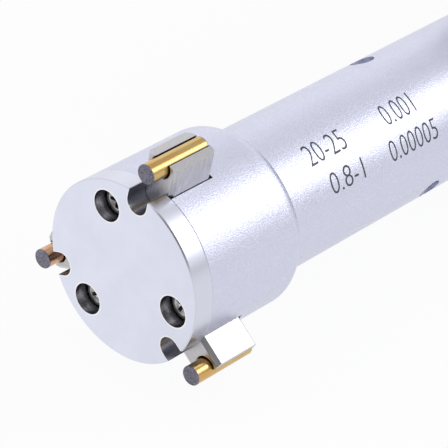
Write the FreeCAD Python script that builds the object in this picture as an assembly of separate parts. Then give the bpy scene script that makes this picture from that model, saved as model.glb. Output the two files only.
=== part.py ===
import FreeCAD
import Part
import math
import os

# Three-point inside micrometer with a digital display, measuring 20 to 25 mm.
# Millimetres. The origin is the centre of the nose face, +X runs back along the instrument, +Z is up.
# It is drawn fully extended, at its largest measuring diameter.

V = FreeCAD.Vector

# Measuring range and head
ANVILS = 3
MEASURE_D = 25.0
ANVIL_TRAVEL = 2.5
FIRST_CLOCK = 104.4
HEAD_D = 18.6
HEAD_LEN = 15.5
CAP_T = 2.35
CAP_EDGE = 0.14
SEAM_EDGE = 0.06
TUBE_D = 15.2

# Contact pins and anvils
PIN_D = 2.0
PIN_FRONT_X = 0.38
PIN_END_ROUND = 0.12
ANVIL_W = 3.8
ANVIL_LEN = 5.5
ANVIL_ROOF_DROP = 0.15
ANVIL_FRONT_BEVEL = 0.4
ANVIL_REAR_BEVEL = 0.5
PIN_PROUD = 0.3
GROOVE_W = 1.7
GROOVE_MOUTH_BEVEL = 0.2
TAIL_LEN = 1.1
TAIL_W = 2.5
TAIL_T = 0.65
FEET_GAP = 0.2

# Measuring cone: its rise is the radial rise for each millimetre of length
CONE_RISE = 0.5
CONE_END_R = 5.0
CONE_END_PAST_ANVIL = 0.3
CONE_LAND = 0.5
CONE_NOSE_X = 1.65
SHANK_D = 5.0
SHANK_LEN = 18.3

# Cap screws, their counterbores and the notches that the pins pass through
CAP_SCREW_CIRCLE_R = 6.62
CAP_SCREW_OFFSET_DEG = 30.0
COUNTERBORE_D = 3.2
COUNTERBORE_DEPTH = 1.95
CAP_SCREW_HEAD_D = 3.0
CAP_SCREW_HEAD_T = 0.6
CAP_SCREW_HEAD_ROUND = 0.3
CAP_SCREW_D = 1.6
CAP_SCREW_GRIP = 2.6
CROSS_LEN = 1.7
CROSS_W = 0.38
CROSS_DEPTH = 0.35
CROSS_TILT_DEG = 20.0
CROSS_CONE_R = 0.45
CROSS_CONE_TIP_R = 0.1
NOTCH_W = 2.4
NOTCH_FLOOR_R = 7.15
CAP_RECESS_D = 4.8
CAP_RECESS_DEPTH = 1.0

# Inside of the head
CAVITY_D = 10.6
CAVITY_END_X = 14.0
BUSH_D = 8.4
SPIGOT_D = 12.6
SPIGOT_LEN = 9.5
CHANNEL_W = 2.8
CHANNEL_TOP_R = 6.9

# Leaf return springs and their rivets
LEAF_T = 0.25
LEAF_W = 2.3
LEAF_REAR_GAP = 0.15
LEAF_FLAT_LEN = 1.9
LEAF_TIP_LEN = 0.75
LEAF_TIP_CURL = 0.125
RIVET_D = 0.9
RIVET_HEAD_D = 1.6
RIVET_HEAD_T = 0.35
RIVET_GRIP = 1.5

# Body tube, with its two spanner holes at their clock angles
TUBE_END_X = 66.0
TUBE_BORE_D = 11.2
TUBE_EDGE = 0.15
SPANNER_HOLE_D = 2.6
SPANNER_HOLE_DEPTH = 1.2
SPANNER_HOLE_X = 38.2
SPANNER_CLOCKS = (66.0, 216.0)

# Push rod, thrust ball and the spring that returns the cone
ROD_D = 4.0
ROD_SPIGOT_D = 2.4
ROD_SPIGOT_LEN = 4.8
ROD_END_X = 76.0
COLLAR_D = 8.4
COLLAR_T = 1.5
COLLAR_X = 38.0
BALL_D = 2.4
BALL_SINK = 0.6
CONE_SPRING_WIRE_D = 0.7
CONE_SPRING_MEAN_R = 3.3
CONE_SPRING_TURNS = 6

# Socket that carries the tube inside the housing
SOCKET_NOSE_LEN = 8.0
FLANGE_T = 2.0
NECK_LEN = 2.2
SOCKET_FLANGE_D = 18.0
SOCKET_NECK_D = 14.0
SOCKET_TAIL_D = 12.0
SOCKET_END_X = 79.85
SOCKET_MOUTH_LEN = 4.95

# Rotary encoder
ROTOR_HUB_D = 9.2
ROTOR_HUB_LEN = 5.0
ROTOR_DISC_D = 18.4
ROTOR_DISC_T = 1.5
STATOR_T = 1.5
KEY_W = 1.0
KEY_DEPTH = 0.9
ENCODER_GAP = 0.1

# Spindle, its nut and the sleeve
SPINDLE_D = 6.0
SPINDLE_THREAD_D = 7.0
SLEEVE_D = 16.0
SLEEVE_FLANGE_D = 19.0
SLEEVE_END_X = 140.0
SLEEVE_BORE_D = 11.0
SLEEVE_BORE_X = 116.0
NUT_X = 118.0
NUT_TAIL_LEN = 7.0
NUT_TAIL_D = 9.8
NUT_SLITS = 3
NUT_SLIT_W = 0.6
ADJUSTER_D = 13.2
ADJUSTER_LEN = 5.0
ADJUSTER_GAP = 0.3
ADJUSTER_NOTCH_W = 1.0
ADJUSTER_NOTCH_DEPTH = 1.25

# Thimble
THIMBLE_D = 18.6
THIMBLE_FRONT_X = 118.0
THIMBLE_END_X = 153.0
THIMBLE_WALL = 3.0
THIMBLE_BEVEL_LEN = 3.0
THIMBLE_LIP = 0.35
THIMBLE_REAR_EDGE = 0.8
GRIP_X = 129.0
GRIP_LEN = 18.0
GRIP_D = 19.2
GRIP_RIDGES = 48
GRIP_RIDGE_DEPTH = 0.3

# Share of its pitch that each flank of a ridge takes on the grip and the knob
RIDGE_FLANK = 0.3

# Ratchet stop
RATCHET_TEETH = 12
TOOTH_H = 0.6
TOOTH_BASE = 1.5
RING_D = 10.8
RING_T = 2.0
RING_TOOTH_IN_R = 3.2
RING_TOOTH_OUT_R = 5.2
KNOB_D = 13.6
KNOB_LEN = 13.7
KNOB_GAP = 0.3
KNOB_WEB = 3.4
KNOB_POCKET_D = 8.4
KNOB_RIDGES = 30
KNOB_RIDGE_DEPTH = 0.3
KNOB_EDGE = 0.6
KNOB_CAP_T = 1.5
KNOB_CAP_D = 10.4
SHOULDER_D = 3.6
SHOULDER_LEN = 10.0
STOP_SCREW_HEAD_D = 6.4
STOP_SCREW_HEAD_T = 1.5
STOP_SCREW_D = 2.0
STOP_SCREW_GRIP = 5.5
STOP_SCREW_SLOT_W = 0.8
STOP_SCREW_SLOT_DEPTH = 0.75
STOP_SPRING_WIRE_D = 0.6
STOP_SPRING_MEAN_R = 2.7
STOP_SPRING_TURNS = 3

# Display housing
HOUSE_X = 62.0
HOUSE_LEN = 52.0
HOUSE_W = 30.0
HOUSE_FRONT_W = 20.0
HOUSE_REAR_W = 21.0
HOUSE_TAPER = 8.0
HOUSE_TOP_Z = 17.0
HOUSE_BACK_Z = -12.0
HOUSE_WALL = 1.8
HOUSE_CORNER_R = 2.4
HOUSE_EDGE_R = 1.4
RIB_CLEAR = 0.05
RIB_TOP_Z = 9.5
BOSS_D = 3.8
BOSS_FRONT_IN = 8.5
BOSS_REAR_IN = 6.6
BOSS_FRONT_SIDE_IN = 3.4
BOSS_REAR_SIDE_IN = 4.4
BOSS_TOP_Z = 8.0
HOUSE_SCREW_D = 1.8
HOUSE_SCREW_HEAD_D = 3.2
HOUSE_SCREW_HEAD_T = 1.4
HOUSE_SCREW_SEAT_Z = -8.5
HOUSE_SCREW_TIP_Z = 5.0

# Display, circuit board and buttons
WINDOW_X = 81.5
WINDOW_SIDE_IN = 3.6
WINDOW_FAR_SIDE_IN = 10.8
WINDOW_LEN = 26.0
WINDOW_T = 1.0
WINDOW_LEDGE = 1.7
WINDOW_CORNER_R = 1.5
BOARD_X0 = 66.3
BOARD_X1 = 95.2
BOARD_Z = 10.2
BOARD_T = 1.0
BOARD_CLEAR = 0.4
LCD_T = 2.2
LCD_MARGIN = 0.4
LCD_HOLDER_WALL = 1.4
POST_D = 2.4
POST_FRONT_X = 74.0
POST_REAR_X = 88.0
POST_SIDE_IN = 3.6
BOARD_SCREW_D = 1.0
BOARD_SCREW_HEAD_D = 2.0
BOARD_SCREW_HEAD_T = 0.5
BOARD_SCREW_LEN = 3.2
BUTTON_NAMES = ("zero_button", "unit_button", "hold_button")
BUTTON_X = 72.5
BUTTON_PITCH = 8.5
BUTTON_SIDE_IN = 6.8
BUTTON_D = 5.2
BUTTON_PROUD = 0.9
BUTTON_TRAVEL = 0.5
BUTTON_FLANGE_D = 6.4
BUTTON_FLANGE_T = 1.0
BUTTON_STEM_D = 2.6
BUTTON_ROUND = 0.35
DOME_D = 4.2
DOME_H = 0.8
DOME_GAP = 0.1

# Battery and its cap
BATTERY_END_IN = 11.0
BATTERY_D = 11.6
BATTERY_T = 5.4
BATTERY_FIT = 0.25
BATTERY_FLOOR_T = 0.8
BATTERY_POCKET_WALL = 0.9
BATTERY_CAP_D = 13.2
COIN_SLOT_W = 1.6
COIN_SLOT_LEN = 9.5
COIN_SLOT_DEPTH = 0.9

# Steps in a turn and sides of the wire in the coil springs
COIL_STEPS = 16
WIRE_SIDES = 6

# Fits and clearances, on the radius or between faces
SLIDE_FIT = 0.04
SLOT_FIT = 0.07
TURN_FIT = 0.05
SEAT_FIT = 0.02
PIN_FIT = 0.01
CONE_GAP = 0.05
FACE_GAP = 0.05
SLEEVE_FIT = 0.08
END_GAP = 0.2

# Places closer than this count as one
SAME_PLACE = 1e-6

# Sizes that follow from the ones above
HEAD_R = HEAD_D / 2
TUBE_R = TUBE_D / 2
PIN_R = PIN_D / 2
PIN_CENTRE_R = MEASURE_D / 2 - PIN_R
ANVIL_TOP_R = MEASURE_D / 2 - PIN_PROUD
ANVIL_X0 = CAP_T + SLIDE_FIT
ANVIL_X1 = ANVIL_X0 + ANVIL_LEN
SLOT_END_X = ANVIL_X1 + TURN_FIT
CONE_END_X = ANVIL_X1 + CONE_END_PAST_ANVIL
FOOT_MIN_R = ANVIL_TRAVEL + ANVIL_W / 2 / math.tan(math.pi / ANVILS) + FEET_GAP
LEDGE_R = CONE_END_R + CONE_RISE * (TAIL_LEN - CONE_END_PAST_ANVIL) + CONE_GAP + TAIL_T
LEAF_LOW_R = LEDGE_R + FACE_GAP
LEAF_TIP_X = ANVIL_X1 + TAIL_LEN - LEAF_TIP_LEN
LEAF_REAR_X = CAVITY_END_X - LEAF_REAR_GAP
LEAF_BEND_X = LEAF_REAR_X - LEAF_FLAT_LEN
BUSH_END_X = HEAD_LEN + SPIGOT_LEN
SHANK_END_X = CONE_END_X + CONE_LAND + SHANK_LEN
SPINDLE_X0 = ROD_END_X + BALL_D - BALL_SINK + FACE_GAP
FLANGE1_X = TUBE_END_X
NECK1_X = FLANGE1_X + FLANGE_T
ROTOR_X = SOCKET_END_X + FACE_GAP
ROTOR_FACE_X = ROTOR_X + ROTOR_HUB_LEN + ROTOR_DISC_T
STATOR_X = ROTOR_FACE_X + ENCODER_GAP
FLANGE2_X = STATOR_X + STATOR_T
NECK2_X = FLANGE2_X + FLANGE_T
HOUSE_END_X = HOUSE_X + HOUSE_LEN
BOSS_FRONT_Y = HOUSE_W / 2 - BOSS_FRONT_SIDE_IN
BOSS_REAR_Y = HOUSE_W / 2 - BOSS_REAR_SIDE_IN
POST_FAR_Y = HOUSE_W / 2 - POST_SIDE_IN
BUTTON_Y = BUTTON_SIDE_IN - HOUSE_W / 2
WINDOW_W = HOUSE_W - WINDOW_SIDE_IN - WINDOW_FAR_SIDE_IN
WINDOW_Y = HOUSE_W / 2 - WINDOW_SIDE_IN - WINDOW_W / 2
BATTERY_X = HOUSE_END_X - BATTERY_END_IN
CEILING_Z = HOUSE_TOP_Z - HOUSE_WALL
BOARD_TOP_Z = BOARD_Z + BOARD_T
BATTERY_TOP_Z = CEILING_Z
STOP_HEAD_X = THIMBLE_END_X + SHOULDER_LEN
KNOB_X = THIMBLE_END_X + KNOB_GAP
KNOB_END_X = KNOB_X + KNOB_LEN
WEB_X = THIMBLE_END_X + RING_T + FACE_GAP
CLOCKS = [FIRST_CLOCK - 360.0 / ANVILS * k for k in range(ANVILS)]


def rod(x0, x1, r, y=0.0, z=0.0):
    """A round bar along X."""
    return Part.makeCylinder(r, x1 - x0, V(x0, y, z), V(1, 0, 0))


def post(x, y, z0, z1, r):
    """A round bar along Z."""
    return Part.makeCylinder(r, z1 - z0, V(x, y, z0))


def block(x0, x1, y0, y1, z0, z1):
    """A rectangular block between two corners."""
    return Part.makeBox(x1 - x0, y1 - y0, z1 - z0, V(x0, y0, z0))


def turned(profile):
    """A solid turned about X from an outline of (x, radius) points."""
    points = [V(x, r, 0) for x, r in profile]
    face = Part.Face(Part.makePolygon(points + points[:1]))
    return face.revolve(V(0, 0, 0), V(1, 0, 0), 360)


def ring(x0, x1, r_out, r_in):
    """A plain ring along X."""
    return turned([(x0, r_in), (x0, r_out), (x1, r_out), (x1, r_in)])


def prism(points, direction):
    """A solid swept straight along a direction from a closed outline of points."""
    return Part.Face(Part.makePolygon(points + points[:1])).extrude(direction)


def clocked(shape, degrees):
    """A copy of the shape turned about the instrument's axis."""
    copy = shape.copy()
    copy.rotate(V(0, 0, 0), V(1, 0, 0), degrees)
    return copy


def cone_r(x):
    """Radius of the measuring cone at x, fully extended."""
    return CONE_END_R - CONE_RISE * (CONE_END_X - x)


def foot_r(x):
    """Radius of an anvil's foot at x, just clear of the cone."""
    return cone_r(x) + CONE_GAP


def coil(x0, x1, mean_r, wire_d, turns):
    """A helical wire spring along X that fills the length from x0 to x1."""
    r = wire_d / 2
    rise = (x1 - x0 - wire_d) / (turns * COIL_STEPS)
    sections = []
    for i in range(turns * COIL_STEPS + 1):
        angle = 2 * math.pi * i / COIL_STEPS
        ring_points = []
        for j in range(WIRE_SIDES):
            side = 2 * math.pi * (j + 0.5) / WIRE_SIDES
            out = mean_r + r * math.cos(side)
            ring_points.append(V(x0 + r + rise * i + r * math.sin(side), out * math.cos(angle),
                                 out * math.sin(angle)))
        sections.append(Part.makePolygon(ring_points + ring_points[:1]))
    return Part.makeLoft(sections, True, True)


def ridged_bar(x0, x1, r, depth, ridges):
    """A bar along X with straight ridges round it."""
    points = []
    for i in range(ridges):
        for part, radius in ((0.0, r - depth), (RIDGE_FLANK, r), (1 - RIDGE_FLANK, r)):
            angle = 2 * math.pi * (i + part) / ridges
            points.append(V(x0, radius * math.cos(angle), radius * math.sin(angle)))
    return prism(points, V(x1 - x0, 0, 0))


def front_cap():
    """Disc that closes the nose, with counterbored screw holes and a notch for each pin."""
    r = HEAD_R
    disc = turned([(0, 0), (0, r - CAP_EDGE), (CAP_EDGE, r), (CAP_T - SEAM_EDGE, r),
                   (CAP_T, r - SEAM_EDGE), (CAP_T, 0)])
    cuts = [rod(CAP_T - CAP_RECESS_DEPTH, CAP_T, CAP_RECESS_D / 2)]
    half = NOTCH_W / 2
    for clock in CLOCKS:
        floor = rod(0, CAP_T, half, NOTCH_FLOOR_R + half)
        mouth = block(0, CAP_T, NOTCH_FLOOR_R + half, HEAD_D, -half, half)
        cuts.append(clocked(floor.fuse(mouth), clock))
        screw_y = CAP_SCREW_CIRCLE_R
        hole = rod(0, CAP_T, CAP_SCREW_D / 2 + TURN_FIT, screw_y)
        bore = rod(0, COUNTERBORE_DEPTH, COUNTERBORE_D / 2, screw_y)
        cuts.append(clocked(hole.fuse(bore), clock - CAP_SCREW_OFFSET_DEG))
    return disc.cut(cuts)


def cap_screws():
    """Three small screws with a rounded head and a cross recess, sunk in the cap."""
    top = COUNTERBORE_DEPTH - CAP_SCREW_HEAD_T
    y = CAP_SCREW_CIRCLE_R
    head = rod(top, COUNTERBORE_DEPTH, CAP_SCREW_HEAD_D / 2, y)
    crown = [e for e in head.Edges if all(abs(v.X - top) < SAME_PLACE for v in e.Vertexes)]
    head = head.makeFillet(CAP_SCREW_HEAD_ROUND, crown)
    shank = rod(COUNTERBORE_DEPTH, CAP_T + CAP_SCREW_GRIP, CAP_SCREW_D / 2, y)
    cuts = [Part.makeCone(CROSS_CONE_R, CROSS_CONE_TIP_R, CROSS_DEPTH, V(top, y, 0), V(1, 0, 0))]
    for tilt in (CROSS_TILT_DEG, CROSS_TILT_DEG + 90):
        bar = block(top, top + CROSS_DEPTH, -CROSS_LEN / 2, CROSS_LEN / 2, -CROSS_W / 2, CROSS_W / 2)
        bar.rotate(V(0, 0, 0), V(1, 0, 0), tilt)
        bar.translate(V(0, y, 0))
        cuts.append(bar)
    screw = head.fuse(shank).cut(cuts)
    return Part.makeCompound([clocked(screw, clock - CAP_SCREW_OFFSET_DEG) for clock in CLOCKS])


def head_outer():
    """Turned outside of the head: cylinder, quarter-round shoulder and spigot."""
    shoulder = HEAD_R - TUBE_R
    mid = shoulder * math.sqrt(0.5)
    arc = Part.Arc(V(HEAD_LEN - shoulder, HEAD_R, 0),
                   V(HEAD_LEN - shoulder + mid, TUBE_R + mid, 0),
                   V(HEAD_LEN, TUBE_R, 0)).toShape()
    before = Part.makePolygon([V(CAP_T, 0, 0), V(CAP_T, HEAD_R - SEAM_EDGE, 0),
                               V(CAP_T + SEAM_EDGE, HEAD_R, 0), V(HEAD_LEN - shoulder, HEAD_R, 0)])
    after = Part.makePolygon([V(HEAD_LEN, TUBE_R, 0), V(HEAD_LEN, SPIGOT_D / 2, 0),
                              V(BUSH_END_X, SPIGOT_D / 2, 0), V(BUSH_END_X, 0, 0), V(CAP_T, 0, 0)])
    outline = Part.Wire(before.Edges + [arc] + after.Edges)
    return Part.Face(outline).revolve(V(0, 0, 0), V(1, 0, 0), 360)


def head_body():
    """Head casting bored for the cone, with three anvil slots and three spring channels."""
    cuts = [rod(CAP_T, CAVITY_END_X, CAVITY_D / 2), rod(CAVITY_END_X, BUSH_END_X, BUSH_D / 2)]
    half = ANVIL_W / 2 + SLOT_FIT
    channel = block(CAP_T, CAVITY_END_X, 0, CHANNEL_TOP_R, -CHANNEL_W / 2, CHANNEL_W / 2)
    tip_room = block(CAP_T, LEAF_BEND_X, 0, LEAF_LOW_R + LEAF_T + LEAF_TIP_CURL + FACE_GAP,
                     -CHANNEL_W / 2, CHANNEL_W / 2)
    slot = block(CAP_T, SLOT_END_X, 0, HEAD_D, -half, half)
    rivet_hole = Part.makeCylinder(RIVET_D / 2, RIVET_GRIP, V(rivet_x(), CHANNEL_TOP_R, 0), V(0, 1, 0))
    screw_hole = rod(CAP_T, CAP_T + CAP_SCREW_GRIP + END_GAP, CAP_SCREW_D / 2, CAP_SCREW_CIRCLE_R)
    for clock in CLOCKS:
        cuts += [clocked(piece, clock) for piece in (slot, channel, tip_room, rivet_hole)]
        cuts.append(clocked(screw_hole, clock - CAP_SCREW_OFFSET_DEG))
    return head_outer().cut(cuts)


def anvil_block():
    """Anvil seen from above as a bevelled rectangle, cut to its roof and its sloping foot."""
    half = ANVIL_W / 2
    front = ANVIL_FRONT_BEVEL
    rear = ANVIL_REAR_BEVEL
    plan = [(ANVIL_X0, -half + front), (ANVIL_X0 + front, -half), (ANVIL_X1 - rear, -half),
            (ANVIL_X1, -half + rear), (ANVIL_X1, half - rear), (ANVIL_X1 - rear, half),
            (ANVIL_X0 + front, half), (ANVIL_X0, half - front)]
    column = prism([V(x, 0, w) for x, w in plan], V(0, ANVIL_TOP_R, 0))
    side = ANVIL_TOP_R - ANVIL_ROOF_DROP
    lip = GROOVE_W / 2
    roof = [(0, -half), (side, -half), (ANVIL_TOP_R, -lip), (ANVIL_TOP_R, lip), (side, half), (0, half)]
    roofed = prism([V(ANVIL_X0, u, w) for u, w in roof], V(ANVIL_LEN, 0, 0))
    heel_x = ANVIL_X0 + (FOOT_MIN_R - foot_r(ANVIL_X0)) / CONE_RISE
    flank = [(ANVIL_X0, FOOT_MIN_R), (heel_x, FOOT_MIN_R), (ANVIL_X1, foot_r(ANVIL_X1)),
             (ANVIL_X1, ANVIL_TOP_R), (ANVIL_X0, ANVIL_TOP_R)]
    footed = prism([V(x, u, -half) for x, u in flank], V(0, 0, ANVIL_W))
    return column.common(roofed).common(footed)


def anvil():
    """Sliding anvil with its pin groove, its inclined foot and the ledge that its spring presses on."""
    tail_x = ANVIL_X1 + TAIL_LEN
    start_x = ANVIL_X1 - ANVIL_REAR_BEVEL
    tail_side = [(start_x, foot_r(start_x)), (tail_x, foot_r(tail_x)),
                 (tail_x, LEDGE_R), (start_x, LEDGE_R)]
    tail = prism([V(x, u, -TAIL_W / 2) for x, u in tail_side], V(0, 0, TAIL_W))
    bore_r = PIN_R + PIN_FIT
    bore = rod(ANVIL_X0, ANVIL_X1, bore_r, PIN_CENTRE_R)
    mouth = Part.makeCone(bore_r + GROOVE_MOUTH_BEVEL, bore_r, GROOVE_MOUTH_BEVEL,
                          V(ANVIL_X0, PIN_CENTRE_R, 0), V(1, 0, 0))
    groove = block(ANVIL_X0, ANVIL_X1, PIN_CENTRE_R, ANVIL_TOP_R, -GROOVE_W / 2, GROOVE_W / 2)
    return anvil_block().fuse(tail).removeSplitter().cut([bore, mouth, groove])


def contact_pin():
    """Hard round pin with rounded ends that touches the measured bore."""
    pin = rod(PIN_FRONT_X, ANVIL_X1, PIN_R, PIN_CENTRE_R)
    ends = [e for e in pin.Edges if abs(e.Vertexes[0].X - e.Vertexes[-1].X) < SAME_PLACE]
    return pin.makeFillet(PIN_END_ROUND, ends)


def measuring_cone():
    """Hardened cone with its guide shank and the hole for the push rod."""
    land_x = CONE_END_X + CONE_LAND
    hole_r = ROD_SPIGOT_D / 2 + SEAT_FIT
    hole_x = SHANK_END_X - ROD_SPIGOT_LEN - SEAT_FIT
    return turned([(CONE_NOSE_X, 0), (CONE_NOSE_X, cone_r(CONE_NOSE_X)), (CONE_END_X, CONE_END_R),
                   (land_x, CONE_END_R), (land_x, SHANK_D / 2), (SHANK_END_X, SHANK_D / 2),
                   (SHANK_END_X, hole_r), (hole_x, hole_r), (hole_x, 0)])


def guide_bush():
    """Bush pressed in the head that guides the cone's shank."""
    return ring(CAVITY_END_X, BUSH_END_X, BUSH_D / 2, SHANK_D / 2 + SEAT_FIT)


def rivet_x():
    """Place of a leaf spring's rivet along the head."""
    return LEAF_REAR_X - LEAF_FLAT_LEN / 2


def return_leaf():
    """Bent leaf that presses an anvil back on the cone, riveted at its rear end."""
    top = CHANNEL_TOP_R
    touch_x = LEAF_TIP_X + LEAF_TIP_LEN / 2
    curl = LEAF_TIP_CURL
    side = [(LEAF_REAR_X, top), (LEAF_BEND_X, top), (touch_x, LEAF_LOW_R + LEAF_T),
            (LEAF_TIP_X, LEAF_LOW_R + LEAF_T + curl), (LEAF_TIP_X, LEAF_LOW_R + curl),
            (touch_x, LEAF_LOW_R), (LEAF_BEND_X, top - LEAF_T), (LEAF_REAR_X, top - LEAF_T)]
    leaf = prism([V(x, u, -LEAF_W / 2) for x, u in side], V(0, 0, LEAF_W))
    return leaf.cut(Part.makeCylinder(RIVET_D / 2, LEAF_T, V(rivet_x(), top - LEAF_T, 0), V(0, 1, 0)))


def spring_rivets():
    """Three rivets that hold the leaf springs in their channels."""
    seat = CHANNEL_TOP_R - LEAF_T
    head_place = V(rivet_x(), seat - RIVET_HEAD_T, 0)
    head = Part.makeCylinder(RIVET_HEAD_D / 2, RIVET_HEAD_T, head_place, V(0, 1, 0))
    shank = Part.makeCylinder(RIVET_D / 2, LEAF_T + RIVET_GRIP, V(rivet_x(), seat, 0), V(0, 1, 0))
    rivet = head.fuse(shank)
    return Part.makeCompound([clocked(rivet, clock) for clock in CLOCKS])


def body_tube():
    """Long tube between the head and the housing, bored for a spigot at each end."""
    seat_r = SPIGOT_D / 2 + SEAT_FIT
    front_seat_x = BUSH_END_X + TURN_FIT
    rear_seat_x = TUBE_END_X - SOCKET_NOSE_LEN - TURN_FIT
    bore_r = TUBE_BORE_D / 2
    tube = turned([(HEAD_LEN, seat_r), (HEAD_LEN, TUBE_R - TUBE_EDGE), (HEAD_LEN + TUBE_EDGE, TUBE_R),
                   (TUBE_END_X, TUBE_R), (TUBE_END_X, seat_r), (rear_seat_x, seat_r),
                   (rear_seat_x, bore_r), (front_seat_x, bore_r), (front_seat_x, seat_r)])
    hole = Part.makeCylinder(SPANNER_HOLE_D / 2, TUBE_R, V(SPANNER_HOLE_X, TUBE_R - SPANNER_HOLE_DEPTH, 0),
                             V(0, 1, 0))
    return tube.cut([clocked(hole, clock) for clock in SPANNER_CLOCKS])


def push_rod():
    """Rod with a spring collar that carries the spindle's thrust to the cone."""
    r = ROD_D / 2
    pocket_r = BALL_D / 2 + SEAT_FIT
    pocket_x = ROD_END_X - BALL_SINK - SEAT_FIT
    spigot_x = SHANK_END_X - ROD_SPIGOT_LEN
    return turned([(spigot_x, 0), (spigot_x, ROD_SPIGOT_D / 2), (SHANK_END_X, ROD_SPIGOT_D / 2),
                   (SHANK_END_X, r), (COLLAR_X, r), (COLLAR_X, COLLAR_D / 2),
                   (COLLAR_X + COLLAR_T, COLLAR_D / 2), (COLLAR_X + COLLAR_T, r), (ROD_END_X, r),
                   (ROD_END_X, pocket_r), (pocket_x, pocket_r), (pocket_x, 0)])


def thrust_ball():
    """Steel ball between the push rod and the spindle."""
    return Part.makeSphere(BALL_D / 2, V(ROD_END_X - BALL_SINK + BALL_D / 2, 0, 0))


def front_socket():
    """Flanged socket, held by a rib of the housing, that the tube screws on."""
    nose_x = TUBE_END_X - SOCKET_NOSE_LEN
    neck_end = NECK1_X + NECK_LEN
    flange_end = neck_end + FLANGE_T
    mouth_x = SOCKET_END_X - SOCKET_MOUTH_LEN
    rod_r = ROD_D / 2 + TURN_FIT
    mouth_r = SPINDLE_D / 2 + SLEEVE_FIT
    big = SOCKET_FLANGE_D / 2
    small = SOCKET_NECK_D / 2
    return turned([(nose_x, rod_r), (nose_x, SPIGOT_D / 2), (FLANGE1_X, SPIGOT_D / 2), (FLANGE1_X, big),
                   (NECK1_X, big), (NECK1_X, small), (neck_end, small), (neck_end, big),
                   (flange_end, big), (flange_end, SOCKET_TAIL_D / 2), (SOCKET_END_X, SOCKET_TAIL_D / 2),
                   (SOCKET_END_X, mouth_r), (mouth_x, mouth_r), (mouth_x, rod_r)])


def encoder_rotor():
    """Encoder disc on a hub that turns with the spindle through a key and lets it slide."""
    hub_end = ROTOR_X + ROTOR_HUB_LEN
    bore_r = SPINDLE_D / 2 + SLIDE_FIT
    rotor = turned([(ROTOR_X, bore_r), (ROTOR_X, ROTOR_HUB_D / 2), (hub_end, ROTOR_HUB_D / 2),
                    (hub_end, ROTOR_DISC_D / 2), (ROTOR_FACE_X, ROTOR_DISC_D / 2), (ROTOR_FACE_X, bore_r)])
    key = block(ROTOR_X, hub_end, -KEY_W / 2, KEY_W / 2,
                SPINDLE_D / 2 - KEY_DEPTH, ROTOR_HUB_D / 2 - END_GAP)
    return rotor.fuse(key)


def encoder_stator():
    """Fixed encoder plate on the front flange of the sleeve."""
    return ring(STATOR_X, FLANGE2_X, SLEEVE_FLANGE_D / 2, SPINDLE_D / 2 + SLEEVE_FIT)


def spindle_sleeve():
    """Flanged sleeve, held by the housing's rear rib, that carries the nut and guides the thimble."""
    neck_end = NECK2_X + NECK_LEN
    flange_end = neck_end + FLANGE_T
    big = SLEEVE_FLANGE_D / 2
    small = SLEEVE_D / 2
    bore = SPINDLE_D / 2 + SEAT_FIT
    wide = SLEEVE_BORE_D / 2
    return turned([(FLANGE2_X, bore), (FLANGE2_X, big), (NECK2_X, big), (NECK2_X, small),
                   (neck_end, small), (neck_end, big), (flange_end, big), (flange_end, small),
                   (SLEEVE_END_X, small), (SLEEVE_END_X, wide),
                   (SLEEVE_BORE_X, wide), (SLEEVE_BORE_X, bore)])


def spindle_nut():
    """Nut pressed in the sleeve, with a slit tail that the adjuster closes."""
    tail_x = SLEEVE_END_X + TURN_FIT
    end_x = tail_x + NUT_TAIL_LEN
    bore = SPINDLE_THREAD_D / 2 + TURN_FIT
    nut = turned([(NUT_X, bore), (NUT_X, SLEEVE_BORE_D / 2), (SLEEVE_END_X, SLEEVE_BORE_D / 2),
                  (tail_x, NUT_TAIL_D / 2), (end_x, NUT_TAIL_D / 2), (end_x, bore)])
    slit = block(tail_x + END_GAP, end_x, 0, NUT_TAIL_D, -NUT_SLIT_W / 2, NUT_SLIT_W / 2)
    return nut.cut([clocked(slit, 360.0 / NUT_SLITS * k) for k in range(NUT_SLITS)])


def adjusting_nut():
    """Ring nut with two spanner notches that takes up the play of the thread."""
    x0 = SLEEVE_END_X + TURN_FIT + ADJUSTER_GAP
    x1 = x0 + ADJUSTER_LEN
    nut = ring(x0, x1, ADJUSTER_D / 2, NUT_TAIL_D / 2)
    notch = block(x1 - ADJUSTER_NOTCH_DEPTH, x1, -ADJUSTER_D, ADJUSTER_D,
                  -ADJUSTER_NOTCH_W / 2, ADJUSTER_NOTCH_W / 2)
    return nut.cut(notch)


def spindle():
    """Spindle with a keyway at its front, a thread at its rear and a tapped end."""
    thread_end = THIMBLE_END_X - THIMBLE_WALL
    hole_x = THIMBLE_END_X - STOP_SCREW_GRIP
    r = SPINDLE_D / 2
    body = turned([(SPINDLE_X0, 0), (SPINDLE_X0, r), (NUT_X, r), (NUT_X, SPINDLE_THREAD_D / 2),
                   (thread_end, SPINDLE_THREAD_D / 2), (thread_end, r), (THIMBLE_END_X, r),
                   (THIMBLE_END_X, STOP_SCREW_D / 2), (hole_x, STOP_SCREW_D / 2), (hole_x, 0)])
    half = KEY_W / 2 + SLIDE_FIT
    keyway = block(SPINDLE_X0, FLANGE2_X, -half, half, r - KEY_DEPTH - SLIDE_FIT, SPINDLE_D)
    return body.cut(keyway)


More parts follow.
